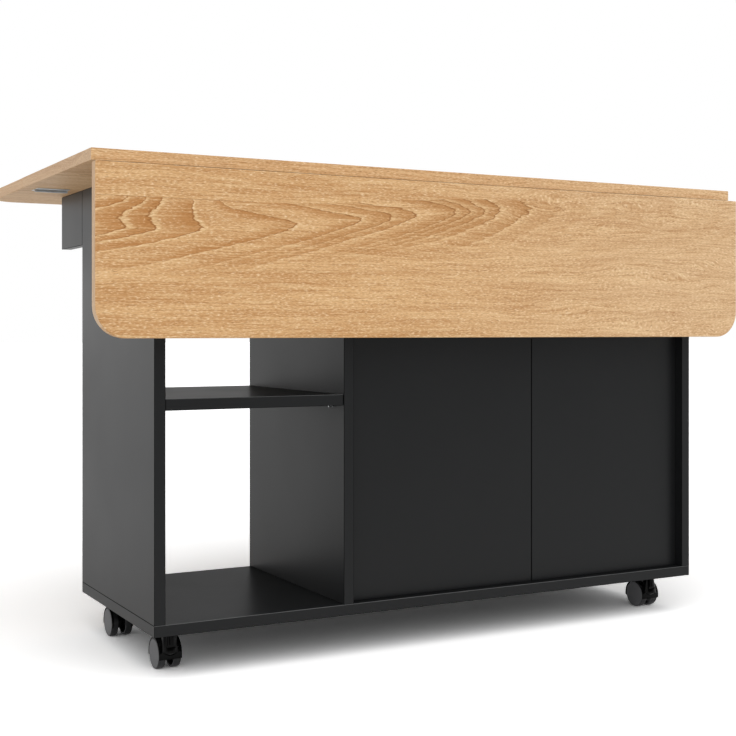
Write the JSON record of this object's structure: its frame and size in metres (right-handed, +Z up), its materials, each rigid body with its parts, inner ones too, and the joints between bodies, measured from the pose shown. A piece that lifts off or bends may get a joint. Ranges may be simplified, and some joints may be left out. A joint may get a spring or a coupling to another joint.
{
  "type": "kitchen island",
  "caption": "Kitchen island on castors: charcoal cabinet with an open shelf bay and rear-door cupboards under an oak-look worktop with drop leaves on swing brackets",
  "frame": {"origin": "on the floor, under the middle of the whole piece as stored", "axes": "+X from the open bay's end to the cupboards' end, +Y from the front to the rear doors, +Z up"},
  "size_m": [1.38, 0.7836, 0.887],
  "materials": {
    "oak_decor_board": "satin",
    "charcoal_melamine_board": "matt",
    "zinc_plated_steel": "satin",
    "black_painted_steel": "matt",
    "gloss_black_nylon": "gloss",
    "grey_nylon_wheel": "satin",
    "beech_dowel": "raw",
    "black_plastic_catch": "matt"
  },
  "bodies": {
    "root": {"bottom_board": "charcoal_melamine_board", "left_side_panel": "charcoal_melamine_board", "right_side_panel": "charcoal_melamine_board", "bay_divider": "charcoal_melamine_board", "cupboard_partition": "charcoal_melamine_board", "front_panel_left": "charcoal_melamine_board", "front_panel_right": "charcoal_melamine_board", "front_rail": "charcoal_melamine_board", "rear_rail": "charcoal_melamine_board", "bay_shelf": "charcoal_melamine_board", "left_cupboard_shelf": "charcoal_melamine_board", "right_cupboard_shelf": "charcoal_melamine_board", "shelf_pins": "zinc_plated_steel", "board_dowels": "beech_dowel", "worktop": "oak_decor_board", "rear_leaf": "oak_decor_board", "worktop_hinge_flaps": "zinc_plated_steel", "rear_leaf_hinge_flaps": "zinc_plated_steel", "leaf_hinge_pins": "zinc_plated_steel", "hinge_screws": "zinc_plated_steel", "front_left_bracket": "charcoal_melamine_board", "front_right_bracket": "charcoal_melamine_board", "front_bracket_hinge_flaps": "zinc_plated_steel", "bracket_hinge_plates": "zinc_plated_steel", "bracket_hinge_pins": "zinc_plated_steel", "door_hinge_plates": "zinc_plated_steel", "door_hinge_pins": "zinc_plated_steel", "door_catches": "black_plastic_catch", "castor_plates": "zinc_plated_steel", "castor_screws": "zinc_plated_steel"},
    "front_leaf": {"front_leaf": "oak_decor_board", "front_leaf_hinge_flaps": "zinc_plated_steel", "front_leaf_screws": "zinc_plated_steel"},
    "rear_left_bracket": {"rear_left_bracket": "charcoal_melamine_board", "rear_left_bracket_hinge": "zinc_plated_steel"},
    "left_door": {"left_door": "charcoal_melamine_board", "left_door_hinges": "zinc_plated_steel", "left_door_handle": "black_painted_steel"},
    "rear_right_bracket": {"rear_right_bracket": "charcoal_melamine_board", "rear_right_bracket_hinge": "zinc_plated_steel"},
    "right_door": {"right_door": "charcoal_melamine_board", "right_door_hinges": "zinc_plated_steel", "right_door_handle": "black_painted_steel"},
    "front_left_castor": {"front_left_castor_hood": "gloss_black_nylon", "front_left_castor_axle": "zinc_plated_steel"},
    "front_left_castor_outer_wheel": {"front_left_castor_outer_wheel": "grey_nylon_wheel"},
    "front_left_castor_inner_wheel": {"front_left_castor_inner_wheel": "grey_nylon_wheel"},
    "front_right_castor": {"front_right_castor_hood": "gloss_black_nylon", "front_right_castor_axle": "zinc_plated_steel"},
    "front_right_castor_outer_wheel": {"front_right_castor_outer_wheel": "grey_nylon_wheel"},
    "front_right_castor_inner_wheel": {"front_right_castor_inner_wheel": "grey_nylon_wheel"},
    "rear_left_castor": {"rear_left_castor_hood": "gloss_black_nylon", "rear_left_castor_axle": "zinc_plated_steel"},
    "rear_left_castor_outer_wheel": {"rear_left_castor_outer_wheel": "grey_nylon_wheel"},
    "rear_left_castor_inner_wheel": {"rear_left_castor_inner_wheel": "grey_nylon_wheel"},
    "rear_right_castor": {"rear_right_castor_hood": "gloss_black_nylon", "rear_right_castor_axle": "zinc_plated_steel"},
    "rear_right_castor_outer_wheel": {"rear_right_castor_outer_wheel": "grey_nylon_wheel"},
    "rear_right_castor_inner_wheel": {"rear_right_castor_inner_wheel": "grey_nylon_wheel"}
  },
  "joints": [
    {"name": "front_leaf_hinge", "type": "hinge", "parent": "root", "child": "front_leaf", "pos_m": [0, -0.36875, 0.864], "axis": [-1, 0, 0], "range_deg": [0, 90]},
    {"name": "rear_left_bracket_hinge", "type": "hinge", "parent": "root", "child": "rear_left_bracket", "pos_m": [-0.554, 0.08305, 0.8127], "axis": [0, 0, -1], "range_deg": [0, 90]},
    {"name": "rear_right_bracket_hinge", "type": "hinge", "parent": "root", "child": "rear_right_bracket", "pos_m": [0.575, 0.08305, 0.8127], "axis": [0, 0, 1], "range_deg": [0, 90]},
    {"name": "left_door_hinge", "type": "hinge", "parent": "root", "child": "left_door", "pos_m": [-0.1985, 0.08875, 0.422], "axis": [0, 0, 1], "range_deg": [0, 105]},
    {"name": "right_door_hinge", "type": "hinge", "parent": "root", "child": "right_door", "pos_m": [0.5765, 0.08875, 0.422], "axis": [0, 0, -1], "range_deg": [0, 105]},
    {"name": "front_left_castor_swivel", "type": "hinge", "parent": "root", "child": "front_left_castor", "pos_m": [-0.526, -0.27825, 0.06], "axis": [0, 0, 1], "continuous": true},
    {"name": "front_left_castor_outer_wheel_spin", "type": "hinge", "parent": "front_left_castor", "child": "front_left_castor_outer_wheel", "pos_m": [-0.526, -0.25825, 0.026], "axis": [1, 0, 0], "continuous": true},
    {"name": "front_left_castor_inner_wheel_spin", "type": "hinge", "parent": "front_left_castor", "child": "front_left_castor_inner_wheel", "pos_m": [-0.526, -0.25825, 0.026], "axis": [1, 0, 0], "continuous": true},
    {"name": "front_right_castor_swivel", "type": "hinge", "parent": "root", "child": "front_right_castor", "pos_m": [0.547, -0.27825, 0.06], "axis": [0, 0, 1], "continuous": true},
    {"name": "front_right_castor_outer_wheel_spin", "type": "hinge", "parent": "front_right_castor", "child": "front_right_castor_outer_wheel", "pos_m": [0.547, -0.25825, 0.026], "axis": [1, 0, 0], "continuous": true},
    {"name": "front_right_castor_inner_wheel_spin", "type": "hinge", "parent": "front_right_castor", "child": "front_right_castor_inner_wheel", "pos_m": [0.547, -0.25825, 0.026], "axis": [1, 0, 0], "continuous": true},
    {"name": "rear_left_castor_swivel", "type": "hinge", "parent": "root", "child": "rear_left_castor", "pos_m": [-0.526, 0.03475, 0.06], "axis": [0, 0, 1], "continuous": true},
    {"name": "rear_left_castor_outer_wheel_spin", "type": "hinge", "parent": "rear_left_castor", "child": "rear_left_castor_outer_wheel", "pos_m": [-0.526, 0.01475, 0.026], "axis": [1, 0, 0], "continuous": true},
    {"name": "rear_left_castor_inner_wheel_spin", "type": "hinge", "parent": "rear_left_castor", "child": "rear_left_castor_inner_wheel", "pos_m": [-0.526, 0.01475, 0.026], "axis": [1, 0, 0], "continuous": true},
    {"name": "rear_right_castor_swivel", "type": "hinge", "parent": "root", "child": "rear_right_castor", "pos_m": [0.547, 0.03475, 0.06], "axis": [0, 0, 1], "continuous": true},
    {"name": "rear_right_castor_outer_wheel_spin", "type": "hinge", "parent": "rear_right_castor", "child": "rear_right_castor_outer_wheel", "pos_m": [0.547, 0.01475, 0.026], "axis": [1, 0, 0], "continuous": true},
    {"name": "rear_right_castor_inner_wheel_spin", "type": "hinge", "parent": "rear_right_castor", "child": "rear_right_castor_inner_wheel", "pos_m": [0.547, 0.01475, 0.026], "axis": [1, 0, 0], "continuous": true}
  ]
}
